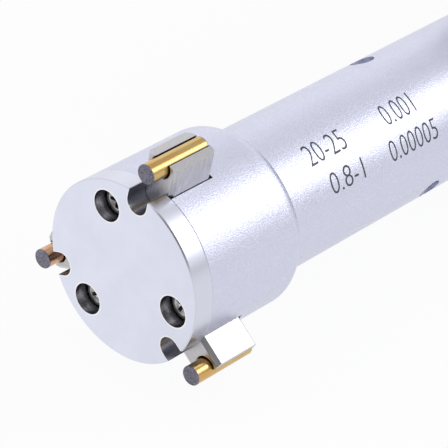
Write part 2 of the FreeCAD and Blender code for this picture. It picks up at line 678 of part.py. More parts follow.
def thimble():
    """Thimble with a bevelled front edge and a ridged grip."""
    r = THIMBLE_D / 2
    bore = SLEEVE_D / 2 + SLEEVE_FIT
    wall_x = THIMBLE_END_X - THIMBLE_WALL
    outside = turned([(THIMBLE_FRONT_X, 0), (THIMBLE_FRONT_X, bore + THIMBLE_LIP),
                      (THIMBLE_FRONT_X + THIMBLE_BEVEL_LEN, r), (THIMBLE_END_X - THIMBLE_REAR_EDGE, r),
                      (THIMBLE_END_X, r - THIMBLE_REAR_EDGE), (THIMBLE_END_X, 0)])
    grip = ridged_bar(GRIP_X, GRIP_X + GRIP_LEN, GRIP_D / 2, GRIP_RIDGE_DEPTH, GRIP_RIDGES)
    hollow = rod(THIMBLE_FRONT_X, wall_x, bore)
    seat = rod(wall_x, THIMBLE_END_X, SPINDLE_D / 2)
    return outside.fuse(grip).cut([hollow, seat])


def ratchet_tooth(grow):
    """One sloping tooth on the ring's rear face, grown on every side by a gap."""
    x = THIMBLE_END_X + RING_T
    half = TOOTH_BASE / 2 + grow
    inner = RING_TOOTH_IN_R - grow
    depth = RING_TOOTH_OUT_R - RING_TOOTH_IN_R + 2 * grow
    side = [V(x, inner, -half), V(x, inner, half), V(x + TOOTH_H + grow, inner, -half)]
    return prism(side, V(0, depth, 0))


def ratchet_ring():
    """Toothed ring fixed at the end of the thimble."""
    plate = ring(THIMBLE_END_X, THIMBLE_END_X + RING_T, RING_D / 2, SHOULDER_D / 2 + TURN_FIT)
    pitch = 360.0 / RATCHET_TEETH
    return plate.fuse([clocked(ratchet_tooth(0), pitch * k) for k in range(RATCHET_TEETH)])


def ratchet_knob():
    """Ridged knob whose web meets the ring's teeth and which a spring presses forward."""
    r = KNOB_D / 2
    outside = ridged_bar(KNOB_X, KNOB_END_X, r, KNOB_RIDGE_DEPTH, KNOB_RIDGES)
    edge = turned([(KNOB_X, 0), (KNOB_X, r - KNOB_EDGE), (KNOB_X + KNOB_EDGE, r),
                   (KNOB_END_X - KNOB_EDGE, r), (KNOB_END_X, r - KNOB_EDGE), (KNOB_END_X, 0)])
    cuts = [rod(KNOB_X, WEB_X, RING_D / 2 + ENCODER_GAP),
            rod(WEB_X, KNOB_END_X, SHOULDER_D / 2 + TURN_FIT),
            rod(WEB_X + KNOB_WEB, KNOB_END_X, KNOB_POCKET_D / 2),
            rod(KNOB_END_X - KNOB_CAP_T, KNOB_END_X, KNOB_CAP_D / 2)]
    pitch = 360.0 / RATCHET_TEETH
    cuts += [clocked(ratchet_tooth(FACE_GAP), pitch * k) for k in range(RATCHET_TEETH)]
    return outside.common(edge).cut(cuts)


def ratchet_screw():
    """Shoulder screw in the spindle's end that holds the ratchet stop together."""
    head_r = STOP_SCREW_HEAD_D / 2
    end_x = STOP_HEAD_X + STOP_SCREW_HEAD_T
    tip_x = THIMBLE_END_X - STOP_SCREW_GRIP
    screw = turned([(tip_x, 0), (tip_x, STOP_SCREW_D / 2),
                    (THIMBLE_END_X, STOP_SCREW_D / 2), (THIMBLE_END_X, SHOULDER_D / 2),
                    (STOP_HEAD_X, SHOULDER_D / 2), (STOP_HEAD_X, head_r), (end_x, head_r), (end_x, 0)])
    slot = block(end_x - STOP_SCREW_SLOT_DEPTH, end_x, -head_r, head_r,
                 -STOP_SCREW_SLOT_W / 2, STOP_SCREW_SLOT_W / 2)
    return screw.cut(slot)


def ratchet_spring():
    """Spring between the knob's web and the head of the shoulder screw."""
    return coil(WEB_X + KNOB_WEB, STOP_HEAD_X - FACE_GAP, STOP_SPRING_MEAN_R, STOP_SPRING_WIRE_D,
                STOP_SPRING_TURNS)


def ratchet_cap():
    """Disc that closes the knob's rear end."""
    return rod(KNOB_END_X - KNOB_CAP_T, KNOB_END_X, KNOB_CAP_D / 2)


def house_plan(inset):
    """Face of the housing's outline seen from above, drawn in by an inset."""
    half = HOUSE_W / 2
    front = HOUSE_FRONT_W / 2
    rear = HOUSE_REAR_W / 2
    near = HOUSE_X + HOUSE_TAPER
    far = HOUSE_END_X - HOUSE_TAPER
    side = [(HOUSE_X, front), (near, half), (far, half), (HOUSE_END_X, rear)]
    points = [V(x, y, 0) for x, y in side] + [V(x, -y, 0) for x, y in reversed(side)]
    face = Part.Face(Part.makePolygon(points + points[:1]))
    if inset:
        face = face.makeOffset2D(-inset)
    return face


def is_upright(edge):
    """True for an edge that runs along Z."""
    ends = [vertex.Point for vertex in edge.Vertexes]
    return len(ends) == 2 and (ends[0] - ends[1]).cross(V(0, 0, 1)).Length < SAME_PLACE


def half_shell(z_face, z_outer):
    """One half of the housing: rounded outside, straight inside, open at the joint plane."""
    depth = z_outer - z_face
    outside = house_plan(0).extrude(V(0, 0, depth))
    outside.translate(V(0, 0, z_face))
    outside = outside.makeFillet(HOUSE_CORNER_R, [e for e in outside.Edges if is_upright(e)])
    rim = [e for e in outside.Edges if all(abs(v.Z - z_outer) < SAME_PLACE for v in e.Vertexes)]
    outside = outside.makeFillet(HOUSE_EDGE_R, rim)
    wall = math.copysign(HOUSE_WALL, depth)
    inside = house_plan(HOUSE_WALL).extrude(V(0, 0, depth - wall))
    inside.translate(V(0, 0, z_face))
    return outside.cut(inside)


def rib(x0, x1, z0, z1):
    """Cross wall of the housing between two heights, as wide as the inside."""
    plan = house_plan(HOUSE_WALL / 2).extrude(V(0, 0, z1 - z0))
    plan.translate(V(0, 0, z0))
    return plan.common(block(x0 + RIB_CLEAR, x1 - RIB_CLEAR, -HOUSE_W, HOUSE_W, z0, z1))


def ribs(z0, z1):
    """The two ribs that hold the socket and the sleeve by their necks."""
    return [rib(NECK1_X, NECK1_X + NECK_LEN, z0, z1), rib(NECK2_X, NECK2_X + NECK_LEN, z0, z1)]


def axis_holes():
    """Round passages for the tube, the sleeve and their necks through walls and ribs."""
    middle = (NECK1_X + NECK2_X) / 2
    return [rod(HOUSE_X - HOUSE_WALL, TUBE_END_X, TUBE_R + TURN_FIT),
            rod(FLANGE1_X, middle, SOCKET_NECK_D / 2 + TURN_FIT),
            rod(middle, HOUSE_END_X + HOUSE_WALL, SLEEVE_D / 2 + TURN_FIT)]


def boss_places():
    """Places of the four housing screws, seen from above."""
    front = HOUSE_X + BOSS_FRONT_IN
    rear = HOUSE_END_X - BOSS_REAR_IN
    return [(front, BOSS_FRONT_Y), (front, -BOSS_FRONT_Y), (rear, BOSS_REAR_Y), (rear, -BOSS_REAR_Y)]


def inside_only(shape, z0, z1):
    """The part of a shape that lies within the housing's outline."""
    plan = house_plan(HOUSE_WALL / 2).extrude(V(0, 0, z1 - z0))
    plan.translate(V(0, 0, z0))
    return shape.common(plan)


def post_places():
    """Places of the four posts that hold the circuit board."""
    between_buttons = [x + BUTTON_PITCH / 2 for x in button_places()[:-1]]
    places = [(POST_FRONT_X, POST_FAR_Y), (POST_REAR_X, POST_FAR_Y)]
    return places + [(x, -POST_FAR_Y) for x in between_buttons]


def button_places():
    """Places of the buttons along the housing."""
    return [BUTTON_X + BUTTON_PITCH * k for k in range(len(BUTTON_NAMES))]


def window_block(z0, z1, shrink):
    """Rectangle of the display window with rounded corners, drawn in by an amount."""
    half_len = WINDOW_LEN / 2 - shrink
    half_w = WINDOW_W / 2 - shrink
    plate = block(WINDOW_X - half_len, WINDOW_X + half_len, WINDOW_Y - half_w, WINDOW_Y + half_w, z0, z1)
    return plate.makeFillet(WINDOW_CORNER_R, [e for e in plate.Edges if is_upright(e)])


def housing_top():
    """Upper shell with the window, the button holes, the battery pocket, posts and bosses."""
    pocket_r = BATTERY_D / 2 + BATTERY_FIT
    floor_z = BATTERY_TOP_Z - BATTERY_T - BATTERY_FLOOR_T
    adds = ribs(0, RIB_TOP_Z)
    adds += [inside_only(post(x, y, 0, BOSS_TOP_Z, BOSS_D / 2), 0, BOSS_TOP_Z) for x, y in boss_places()]
    adds += [inside_only(post(x, y, BOARD_TOP_Z, CEILING_Z, POST_D / 2), BOARD_TOP_Z, CEILING_Z)
             for x, y in post_places()]
    adds.append(post(BATTERY_X, 0, floor_z, CEILING_Z, pocket_r + BATTERY_POCKET_WALL))
    cuts = axis_holes()
    cuts += [post(x, y, 0, HOUSE_SCREW_TIP_Z + END_GAP, HOUSE_SCREW_D / 2) for x, y in boss_places()]
    cuts += [post(x, y, BOARD_TOP_Z, BOARD_TOP_Z + BOARD_SCREW_LEN, BOARD_SCREW_D / 2)
             for x, y in post_places()]
    cuts += [post(x, BUTTON_Y, CEILING_Z, HOUSE_TOP_Z, BUTTON_D / 2 + TURN_FIT) for x in button_places()]
    cuts.append(post(BATTERY_X, 0, floor_z + BATTERY_FLOOR_T, CEILING_Z, pocket_r))
    cuts.append(post(BATTERY_X, 0, CEILING_Z, HOUSE_TOP_Z, BATTERY_CAP_D / 2 + TURN_FIT))
    cuts.append(window_block(HOUSE_TOP_Z - WINDOW_T - FACE_GAP, HOUSE_TOP_Z, -TURN_FIT))
    cuts.append(window_block(CEILING_Z, HOUSE_TOP_Z, WINDOW_LEDGE))
    return half_shell(0, HOUSE_TOP_Z).fuse(adds).cut(cuts)


def housing_back():
    """Lower shell with screw bosses, sunk screw heads and the ribs' lower halves."""
    floor_z = HOUSE_BACK_Z + HOUSE_WALL
    adds = ribs(floor_z, 0)
    adds += [inside_only(post(x, y, floor_z, 0, BOSS_D / 2), floor_z, 0) for x, y in boss_places()]
    cuts = axis_holes()
    for x, y in boss_places():
        cuts.append(post(x, y, HOUSE_BACK_Z, 0, HOUSE_SCREW_D / 2 + TURN_FIT))
        cuts.append(post(x, y, HOUSE_BACK_Z, HOUSE_SCREW_SEAT_Z, HOUSE_SCREW_HEAD_D / 2 + TURN_FIT))
    return half_shell(0, HOUSE_BACK_Z).fuse(adds).cut(cuts)


def housing_screws():
    """Four screws that join the shells from below."""
    screws = []
    for x, y in boss_places():
        low = HOUSE_SCREW_SEAT_Z - HOUSE_SCREW_HEAD_T
        screw = post(x, y, low, HOUSE_SCREW_SEAT_Z, HOUSE_SCREW_HEAD_D / 2)
        screw = screw.fuse(post(x, y, HOUSE_SCREW_SEAT_Z, HOUSE_SCREW_TIP_Z, HOUSE_SCREW_D / 2))
        for bar_x, bar_y in ((CROSS_LEN, CROSS_W), (CROSS_W, CROSS_LEN)):
            screw = screw.cut(block(x - bar_x / 2, x + bar_x / 2, y - bar_y / 2, y + bar_y / 2,
                                    low, low + CROSS_DEPTH))
        screws.append(screw)
    return Part.makeCompound(screws)


def display_window():
    """Clear window that lies on a ledge of the upper shell."""
    return window_block(HOUSE_TOP_Z - WINDOW_T, HOUSE_TOP_Z - FACE_GAP, 0)


def lcd_panel():
    """Display glass under the window."""
    top = CEILING_Z - FACE_GAP
    return window_block(top - LCD_T, top, WINDOW_LEDGE - LCD_MARGIN)


def lcd_holder():
    """Frame between the circuit board and the display glass."""
    top = CEILING_Z - FACE_GAP - LCD_T
    shrink = WINDOW_LEDGE - LCD_MARGIN
    frame = window_block(BOARD_TOP_Z, top, shrink)
    return frame.cut(window_block(BOARD_TOP_Z, top, shrink + LCD_HOLDER_WALL))


def circuit_board():
    """Board that follows the inside of the upper shell."""
    plan = house_plan(HOUSE_WALL + BOARD_CLEAR).extrude(V(0, 0, BOARD_T))
    plan.translate(V(0, 0, BOARD_Z))
    board = plan.common(block(BOARD_X0, BOARD_X1, -HOUSE_W, HOUSE_W, BOARD_Z, BOARD_TOP_Z))
    hole_r = BOARD_SCREW_D / 2 + TURN_FIT
    return board.cut([post(x, y, BOARD_Z, BOARD_TOP_Z, hole_r) for x, y in post_places()])


def board_screws():
    """Four screws that hold the board to its posts."""
    screws = []
    for x, y in post_places():
        screw = post(x, y, BOARD_Z - BOARD_SCREW_HEAD_T, BOARD_Z, BOARD_SCREW_HEAD_D / 2)
        screws.append(screw.fuse(post(x, y, BOARD_Z, BOARD_TOP_Z + BOARD_SCREW_LEN - END_GAP,
                                      BOARD_SCREW_D / 2)))
    return Part.makeCompound(screws)


def dome_switches():
    """Three dome switches on the board, one under each button."""
    return Part.makeCompound([post(x, BUTTON_Y, BOARD_TOP_Z, BOARD_TOP_Z + DOME_H, DOME_D / 2)
                              for x in button_places()])


def button(x):
    """Round button with a flange under the shell and a stem over its switch."""
    top = HOUSE_TOP_Z + BUTTON_PROUD
    flange_top = CEILING_Z - FACE_GAP
    flange_low = flange_top - BUTTON_FLANGE_T
    foot = BOARD_TOP_Z + DOME_H + DOME_GAP + BUTTON_TRAVEL
    cap = post(x, BUTTON_Y, flange_low, top, BUTTON_D / 2)
    rim = [e for e in cap.Edges if all(v.Z > HOUSE_TOP_Z for v in e.Vertexes)]
    cap = cap.makeFillet(BUTTON_ROUND, rim)
    flange = post(x, BUTTON_Y, flange_low, flange_top, BUTTON_FLANGE_D / 2)
    stem = post(x, BUTTON_Y, foot, flange_low, BUTTON_STEM_D / 2)
    return cap.fuse([flange, stem])


def battery():
    """Button cell in its pocket."""
    low = BATTERY_TOP_Z - BATTERY_T
    return post(BATTERY_X, 0, low, BATTERY_TOP_Z - FACE_GAP, BATTERY_D / 2)


def battery_cap():
    """Screw cap with a coin slot, level with the housing's top."""
    cap = post(BATTERY_X, 0, CEILING_Z, HOUSE_TOP_Z, BATTERY_CAP_D / 2)
    slot = block(BATTERY_X - COIN_SLOT_LEN / 2, BATTERY_X + COIN_SLOT_LEN / 2,
                 -COIN_SLOT_W / 2, COIN_SLOT_W / 2, HOUSE_TOP_Z - COIN_SLOT_DEPTH, HOUSE_TOP_Z)
    return cap.cut(slot)


def build():
    """Every node of the instrument by name."""
    nodes = {
        "front_cap": front_cap(),
        "cap_screws": cap_screws(),
        "head_body": head_body(),
        "spring_rivets": spring_rivets(),
        "measuring_cone": measuring_cone(),
        "guide_bush": guide_bush(),
        "cone_spring": coil(BUSH_END_X, COLLAR_X, CONE_SPRING_MEAN_R, CONE_SPRING_WIRE_D, CONE_SPRING_TURNS),
        "push_rod": push_rod(),
        "thrust_ball": thrust_ball(),
        "body_tube": body_tube(),
        "front_socket": front_socket(),
        "encoder_rotor": encoder_rotor(),
        "encoder_stator": encoder_stator(),
        "spindle_sleeve": spindle_sleeve(),
        "spindle_nut": spindle_nut(),
        "adjusting_nut": adjusting_nut(),
        "spindle": spindle(),
        "thimble": thimble(),
        "ratchet_ring": ratchet_ring(),
        "ratchet_knob": ratchet_knob(),
        "ratchet_screw": ratchet_screw(),
        "ratchet_spring": ratchet_spring(),
        "ratchet_cap": ratchet_cap(),
        "housing_top": housing_top(),
        "housing_back": housing_back(),
        "housing_screws": housing_screws(),
        "display_window": display_window(),
        "lcd_panel": lcd_panel(),
        "lcd_holder": lcd_holder(),
        "circuit_board": circuit_board(),
        "board_screws": board_screws(),
        "dome_switches": dome_switches(),
        "battery": battery(),
        "battery_cap": battery_cap(),
    }
    for number, clock in enumerate(CLOCKS, 1):
        nodes[f"anvil_{number}"] = clocked(anvil(), clock)
        nodes[f"contact_pin_{number}"] = clocked(contact_pin(), clock)
        nodes[f"return_spring_{number}"] = clocked(return_leaf(), clock)
    for name, x in zip(BUTTON_NAMES, button_places()):
        nodes[name] = button(x)
    return nodes


os.makedirs("parts", exist_ok=True)
for node_name, node_shape in build().items():
    node_shape.exportStep(f"parts/{node_name}.step")
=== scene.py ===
import math

import bmesh
import bpy
from mathutils import Matrix, Vector


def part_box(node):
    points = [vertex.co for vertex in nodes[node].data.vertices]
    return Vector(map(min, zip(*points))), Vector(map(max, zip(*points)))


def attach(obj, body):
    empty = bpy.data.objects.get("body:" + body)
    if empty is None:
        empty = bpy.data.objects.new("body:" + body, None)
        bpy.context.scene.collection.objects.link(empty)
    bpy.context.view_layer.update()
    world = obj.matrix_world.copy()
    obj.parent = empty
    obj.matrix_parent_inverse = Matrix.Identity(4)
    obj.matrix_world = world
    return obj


# The inside micrometer in its photo's light: the CAD nodes get their finishes, the tube its numbers
# and the display its reading, and a plain studio stands around them

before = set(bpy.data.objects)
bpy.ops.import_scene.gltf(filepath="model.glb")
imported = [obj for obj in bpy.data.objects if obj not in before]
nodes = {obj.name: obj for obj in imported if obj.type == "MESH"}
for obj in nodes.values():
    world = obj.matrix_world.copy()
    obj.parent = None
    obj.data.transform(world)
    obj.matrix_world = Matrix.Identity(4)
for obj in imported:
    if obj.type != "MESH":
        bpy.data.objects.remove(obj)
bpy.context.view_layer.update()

# Lengths are in metres; sizes of the instrument are written in millimetres times MM
MM = 0.001

# The camera looks down on the head from where the photo was taken
CAMERA_PLACE = Vector((-153.44, -152.01, 127.07)) * MM
CAMERA_AIM = Vector((0.644725, 0.585080, -0.491946))
CAMERA_LENS = 217.25
CAMERA_SENSOR = 36.0
CAMERA_NEAR = 0.01
CAMERA_FAR = 20

# Places on the instrument, read from the frame's boxes
NOSE_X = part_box("front_cap")[0].x
PIN_BOXES = [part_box(f"contact_pin_{k}") for k in (1, 2, 3)]
PIN_AXES = [(low + high) / 2 for low, high in PIN_BOXES]
PIN_WAYS = [Vector((0, middle.y, middle.z)).normalized() for middle in PIN_AXES]
PIN_R = (PIN_BOXES[0][1].y - PIN_BOXES[0][0].y) / 2
PIN_FRONT_X = PIN_BOXES[0][0].x
PIN_REAR_X = PIN_BOXES[0][1].x
CROSS_TOP_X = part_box("cap_screws")[0].x
TUBE_R = (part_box("body_tube")[1].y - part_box("body_tube")[0].y) / 2
SHELL_SPLIT_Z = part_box("housing_top")[0].z
FLOOR_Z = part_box("housing_back")[0].z

# Holes in the nose cap, which the boxes don't tell: a screw hole turned from each pin, and a notch
# for each pin, made of two bores that overlap
SCREW_CIRCLE_R = 6.62 * MM
SCREW_TURN = Matrix.Rotation(math.radians(-30.0), 3, "X")
SCREW_AXES = [SCREW_CIRCLE_R * (SCREW_TURN @ way) for way in PIN_WAYS]
BORE_R = 1.6 * MM
CROSS_R = 1.0 * MM
NOTCH_R = 1.2 * MM
NOTCH_CIRCLES_R = (8.35 * MM, 9.2 * MM)
NOTCH_AXES = [circle * way for way in PIN_WAYS for circle in NOTCH_CIRCLES_R]

# Sizes of the marks in the finishes. Lines and rings are noise drawn out by a stretch. A straight
# edge fades out at SOFT_EDGE times its distance, a round one at ROUND_EDGE times its radius.
GRAIN = 0.13 * MM
PIT = 0.20 * MM
PIT_SHARE = 0.3
CLOUD_DEPTH = 0.01 * MM
NOISE_ROUGHNESS = 0.6
LINE_STRETCH = 14
RING_STRETCH = 60
RIM_START = 0.005 * MM
RIM_END = 0.03 * MM
# BORE_EDGE is how wide the painted highlight round the lip of a hole in the nose is
BORE_EDGE = 0.09 * MM
# GROOVE_SHADE is how far the painted shade in an anvil's groove reaches out from its pin
GROOVE_SHADE = 0.12 * MM
BARE_END = 0.13 * MM
# Painted shade in a screw's cross comes in between CROSS_START and CROSS_END deeper than its top
CROSS_START = 0.035 * MM
CROSS_END = 0.14 * MM
SPLIT_HALF = 0.07 * MM
SOFT_EDGE = 1.3
ROUND_EDGE = 1.04

# Spans of a noise's values that become a contrast; the narrower the span, the harder it is
WIDE = (0.2, 0.8)
SPREAD = (0.3, 0.7)
CORE = (0.35, 0.65)
FADING = (0.35, 0.75)
PATCHES = (0.45, 0.65)
TRACES = (0.49, 0.51)

# Colours, in the renderer's linear values
CHROME = (0.65, 0.667, 0.795)
THIMBLE_CHROME = (0.60, 0.61, 0.69)
NOSE_FACE = (0.80, 0.82, 0.945)
NOSE_RIM = (0.66, 0.675, 0.77)
# Painted highlight on the lip of the holes in the nose
LIP_HIGHLIGHT = (0.97, 0.97, 0.98)
GROUND_STEEL = (0.60, 0.59, 0.61)
GOLD = (0.62, 0.44, 0.17)
GOLD_TINT = (0.64, 0.36, 0.13)
REDDER_GOLD = (0.64, 0.37, 0.22)
REDDER_TINT = (0.60, 0.29, 0.19)
CARBIDE = (0.21, 0.205, 0.255)
CAP_SCREW_STEEL = (0.92, 0.88, 0.82)
SCREW_STEEL = (0.88, 0.84, 0.79)
INNER_STEEL = (0.50, 0.50, 0.53)
SPRING_STEEL = (0.4, 0.4, 0.43)
SWITCH_METAL = (0.6, 0.6, 0.6)
HOUSING_PLASTIC = (0.045, 0.048, 0.055)
CAP_PLASTIC = (0.02, 0.02, 0.022)
HOLDER_PLASTIC = (0.7, 0.7, 0.67)
RUBBER = (0.34, 0.36, 0.39)
WINDOW_TINT = (0.93, 0.96, 0.95)
LCD_GREEN = (0.50, 0.55, 0.46)
BOARD_GREEN = (0.015, 0.13, 0.055)
BOARD_TRACE = (0.03, 0.22, 0.10)
MARKING_INK = (0.045, 0.045, 0.055)
DIGIT_INK = (0.012, 0.014, 0.012)


def set_camera():
    """Camera at the photo's angle."""
    data = bpy.data.cameras.new("photo_camera")
    data.lens = CAMERA_LENS
    data.sensor_width = CAMERA_SENSOR
    data.clip_start = CAMERA_NEAR
    data.clip_end = CAMERA_FAR
    camera = bpy.data.objects.new("photo_camera", data)
    camera.rotation_euler = CAMERA_AIM.to_track_quat("-Z", "Y").to_euler()
    camera.location = CAMERA_PLACE
    bpy.context.scene.collection.objects.link(camera)
    bpy.context.scene.camera = camera


def shade(colour, factor):
    """A colour made lighter or darker."""
    return tuple(min(c * factor, 1.0) for c in colour)


class Finish:
    """A material with one principled shader and the few node chains that the finishes share."""

    def __init__(self, name, colour, metallic, roughness, **sockets):
        self.material = bpy.data.materials.new(name)
        self.material.use_nodes = True
        self.tree = self.material.node_tree
        self.shader = self.tree.nodes["Principled BSDF"]
        self.set("Base Color", (*colour, 1))
        self.set("Metallic", metallic)
        self.set("Roughness", roughness)
        for socket, value in sockets.items():
            self.set(socket.replace("_", " "), value)
        self.coords = self.add("ShaderNodeTexCoord").outputs["Object"]

    def add(self, kind, **values):
        """A new node with some of its values set."""
        node = self.tree.nodes.new(kind)
        for key, value in values.items():
            setattr(node, key, value)
        return node

    def link(self, output, target):
        """An output joined to the input that takes it."""
        self.tree.links.new(output, target)

    def set(self, socket, value):
        """A plain value on one of the shader's sockets."""
        self.shader.inputs[socket].default_value = value

    def feed(self, socket, source):
        """A node's input, fed by another output or set to a plain value."""
        if isinstance(source, bpy.types.NodeSocket):
            self.link(source, socket)
        else:
            socket.default_value = source

    def noise(self, size, detail=2.0, stretch=(1, 1, 1), coords=None):
        """Noise whose features are about size metres across, drawn out along an axis by stretch."""
        mapping = self.add("ShaderNodeMapping")
        mapping.inputs["Scale"].default_value = [1 / s for s in stretch]
        self.link(coords or self.coords, mapping.inputs["Vector"])
        texture = self.add("ShaderNodeTexNoise")
        texture.inputs["Scale"].default_value = 1 / size
        texture.inputs["Detail"].default_value = detail
        texture.inputs["Roughness"].default_value = NOISE_ROUGHNESS
        self.link(mapping.outputs["Vector"], texture.inputs["Vector"])
        return texture.outputs["Fac"]

    def ramp(self, value, low, high, to_low=0.0, to_high=1.0):
        """Value mapped from one range to another, clamped."""
        node = self.add("ShaderNodeMapRange")
        limits = {"From Min": low, "From Max": high, "To Min": to_low, "To Max": to_high}
        for key, number in limits.items():
            node.inputs[key].default_value = number
        self.link(value, node.inputs["Value"])
        return node.outputs["Result"]

    def mix(self, fac, first, second):
        """Colour mixed between two, each a colour or another output."""
        node = self.add("ShaderNodeMix", data_type="RGBA")
        self.link(fac, node.inputs["Factor"])
        for socket, source in ((node.inputs[6], first), (node.inputs[7], second)):
            self.feed(socket, (*source, 1) if isinstance(source, tuple) else source)
        return node.outputs[2]

    def vary(self, noise, span, colour, dark, light):
        """A colour that a noise takes from one shade of it to another."""
        return self.mix(self.ramp(noise, *span), shade(colour, dark), shade(colour, light))

    def calc(self, operation, a, b=0.0):
        """One operation on two numbers, each plain or another output."""
        node = self.add("ShaderNodeMath", operation=operation)
        self.feed(node.inputs[0], a)
        self.feed(node.inputs[1], b)
        return node.outputs[0]

    def colour_from(self, output):
        """The base colour, taken from an output."""
        self.link(output, self.shader.inputs["Base Color"])

    def roughness_from(self, output):
        """The roughness, taken from an output."""
        self.link(output, self.shader.inputs["Roughness"])

    def bump(self, *layers):
        """Bump layers, each a height output and its depth in metres, one on top of the other."""
        normal = None
        for height, depth in layers:
            node = self.add("ShaderNodeBump")
            node.inputs["Strength"].default_value = 1.0
            node.inputs["Distance"].default_value = depth
            self.link(height, node.inputs["Height"])
            if normal:
                self.link(normal, node.inputs["Normal"])
            normal = node.outputs["Normal"]
        self.link(normal, self.shader.inputs["Normal"])

    def clear_of(self, axes, reach):
        """0 within reach of a line along X through one of the points, and 1 a little farther out."""
        nearest = None
        for middle in axes:
            off = self.add("ShaderNodeVectorMath", operation="SUBTRACT")
            self.link(self.coords, off.inputs[0])
            off.inputs[1].default_value = middle
            across = self.add("ShaderNodeVectorMath", operation="MULTIPLY")
            self.link(off.outputs[0], across.inputs[0])
            across.inputs[1].default_value = (0, 1, 1)
            length = self.add("ShaderNodeVectorMath", operation="LENGTH")
            self.link(across.outputs[0], length.inputs[0])
            far = length.outputs["Value"]
            nearest = self.calc("MINIMUM", nearest, far) if nearest else far
        return self.ramp(nearest, reach, reach * ROUND_EDGE)

    def axis(self, name):
        """One object coordinate, in metres."""
        node = self.add("ShaderNodeSeparateXYZ")
        self.link(self.coords, node.inputs[0])
        return node.outputs[name]


def blasted(name, colour, roughness, scatter, depth):
    """Fine blasted satin metal, whose pits make the roughness vary by scatter, with faint clouds."""
    f = Finish(name, colour, metallic=1.0, roughness=roughness)
    speck = f.noise(GRAIN, detail=2)
    pits = f.noise(PIT, detail=1)
    cloud = f.noise(2.4 * MM, detail=3)
    fine = f.vary(speck, SPREAD, colour, dark=0.93, light=1.07)
    f.colour_from(f.mix(f.ramp(cloud, *CORE, to_high=0.35), fine, shade(colour, 0.96)))
    f.roughness_from(f.ramp(pits, *CORE, roughness - scatter, roughness + scatter))
    f.bump((speck, depth), (pits, depth * PIT_SHARE), (cloud, CLOUD_DEPTH))
    return f.material


def ground(name, colour, way, roughness):
    """Anvil ground across its sides, with lines that run along way, and painted shade in the pin's
    groove.
    """
    f = Finish(name, colour, metallic=1.0, roughness=roughness)
    turn = f.add("ShaderNodeMapping")
    turn.inputs["Rotation"].default_value[0] = math.atan2(way.y, way.z)
    f.link(f.coords, turn.inputs["Vector"])
    upright = turn.outputs["Vector"]
    lines = f.noise(0.11 * MM, detail=2, stretch=(1, 1, LINE_STRETCH), coords=upright)
    speck = f.noise(GRAIN, detail=2)
    cloud = f.noise(1.2 * MM, detail=2)
    streak = f.vary(lines, CORE, colour, dark=0.76, light=1.13)
    grainy = f.mix(f.ramp(speck, *CORE, to_high=0.5), streak, shade(colour, 0.85))
    worn = f.mix(f.ramp(cloud, *CORE, to_high=0.4), grainy, shade(colour, 0.9))
    # Painted shade: the anvil is near black in the groove round its pin
    groove = f.clear_of(PIN_AXES, PIN_R + GROOVE_SHADE)
    f.colour_from(f.mix(groove, shade(colour, 0.05), worn))
    f.roughness_from(f.ramp(lines, *WIDE, roughness - 0.05, roughness + 0.06))
    f.bump((lines, 0.002 * MM), (speck, 0.004 * MM))
    return f.material


def lapped(name, face_colour, rim_colour, face_roughness, rim_roughness):
    """Lapped nose face with a finer rim; its holes have tool marks, painted shade on their walls and a
    painted highlight round their lip.
    """
    f = Finish(name, face_colour, metallic=1.0, roughness=face_roughness)
    lap = f.noise(0.09 * MM, detail=3)
    cloud = f.noise(3.5 * MM, detail=2)
    face = f.vary(lap, SPREAD, face_colour, dark=0.975, light=1.025)
    face = f.mix(f.ramp(cloud, *CORE, to_high=0.8), face, shade(face_colour, 0.95))
    x = f.axis("X")
    rim = f.ramp(x, NOSE_X + RIM_START, NOSE_X + RIM_END)
    no_bore = f.clear_of(SCREW_AXES, BORE_R + BORE_EDGE)
    no_notch = f.clear_of(NOTCH_AXES, NOTCH_R + BORE_EDGE)
    turned = f.noise(0.09 * MM, detail=1, stretch=(1, RING_STRETCH, RING_STRETCH))
    # Painted shade: the walls of the screw holes are darker than the rim, and the notches darker still
    wall = f.vary(turned, CORE, rim_colour, dark=0.5, light=1.0)
    wall = f.mix(no_notch, shade(rim_colour, 0.6), wall)
    # Painted highlight: a bright band round each hole's lip
    wall = f.mix(f.ramp(x, NOSE_X, NOSE_X + BORE_EDGE), LIP_HIGHLIGHT, wall)
    solid = f.calc("MINIMUM", no_bore, no_notch)
    f.colour_from(f.mix(solid, wall, f.mix(rim, face, rim_colour)))
    f.roughness_from(f.ramp(rim, 0.0, 1.0, to_low=face_roughness, to_high=rim_roughness))
    f.bump((lap, 0.0006 * MM), (turned, 0.002 * MM))
    return f.material


def coated(name, colour, tint, carbide):
    """Gold-coated pin with a warmer tint in places, whose ends are bare, mottled carbide."""
    coat_roughness = 0.2
    bare_roughness = 0.5
    f = Finish(name, colour, metallic=1.0, roughness=coat_roughness)
    drawn = f.noise(0.07 * MM, detail=2, stretch=(LINE_STRETCH, 1, 1))
    patch = f.noise(0.9 * MM, detail=2, stretch=(3, 1, 1))
    mottle = f.noise(0.16 * MM, detail=3)
    x = f.axis("X")
    front = f.ramp(x, PIN_FRONT_X + BARE_END, PIN_FRONT_X + BARE_END * SOFT_EDGE,
                   to_low=1.0, to_high=0.0)
    rear = f.ramp(x, PIN_REAR_X - BARE_END * SOFT_EDGE, PIN_REAR_X - BARE_END)
    end = f.calc("MAXIMUM", front, rear)
    coat = f.vary(drawn, SPREAD, colour, dark=0.86, light=1.08)
    coat = f.mix(f.ramp(patch, *PATCHES, to_high=0.8), coat, tint)
    bare = f.vary(mottle, CORE, carbide, dark=0.6, light=1.4)
    f.colour_from(f.mix(end, coat, bare))
    f.roughness_from(f.ramp(end, 0.0, 1.0, to_low=coat_roughness, to_high=bare_roughness))
    f.bump((drawn, 0.0012 * MM))
    return f.material


